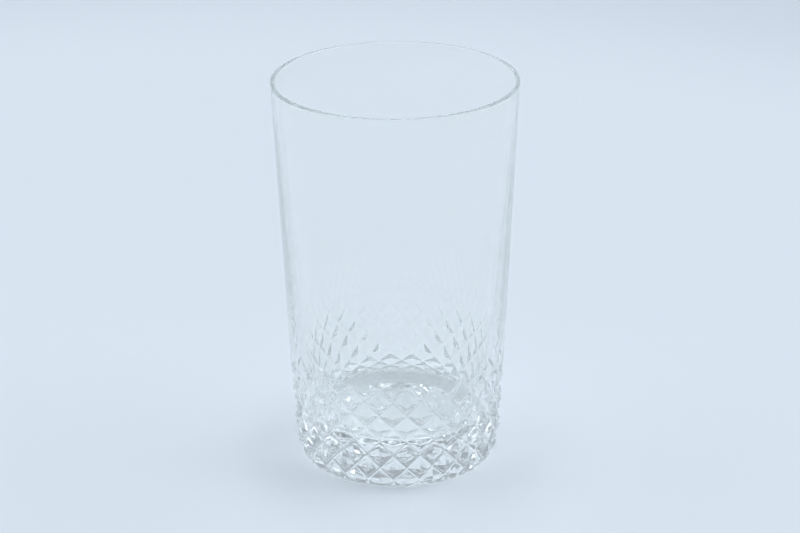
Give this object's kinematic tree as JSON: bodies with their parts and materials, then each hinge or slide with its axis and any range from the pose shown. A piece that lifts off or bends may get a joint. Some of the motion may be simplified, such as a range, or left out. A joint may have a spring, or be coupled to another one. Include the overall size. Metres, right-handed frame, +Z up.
{
  "type": "water glass",
  "caption": "Tapered clear crystal water tumbler with a thin rim, a heavy base and a band of diamond cutting round its lower part.",
  "frame": {"origin": "middle of the foot, on the surface that the glass stands on", "axes": "+Z up along the axis of the glass, +Y away from the picture's camera"},
  "size_m": [0.076, 0.076, 0.124],
  "materials": {
    "clear_crystal": "clear colourless crystal, fire-polished above and cut and polished below"
  },
  "bodies": {
    "root": {"tumbler": "clear_crystal"}
  },
  "joints": []
}
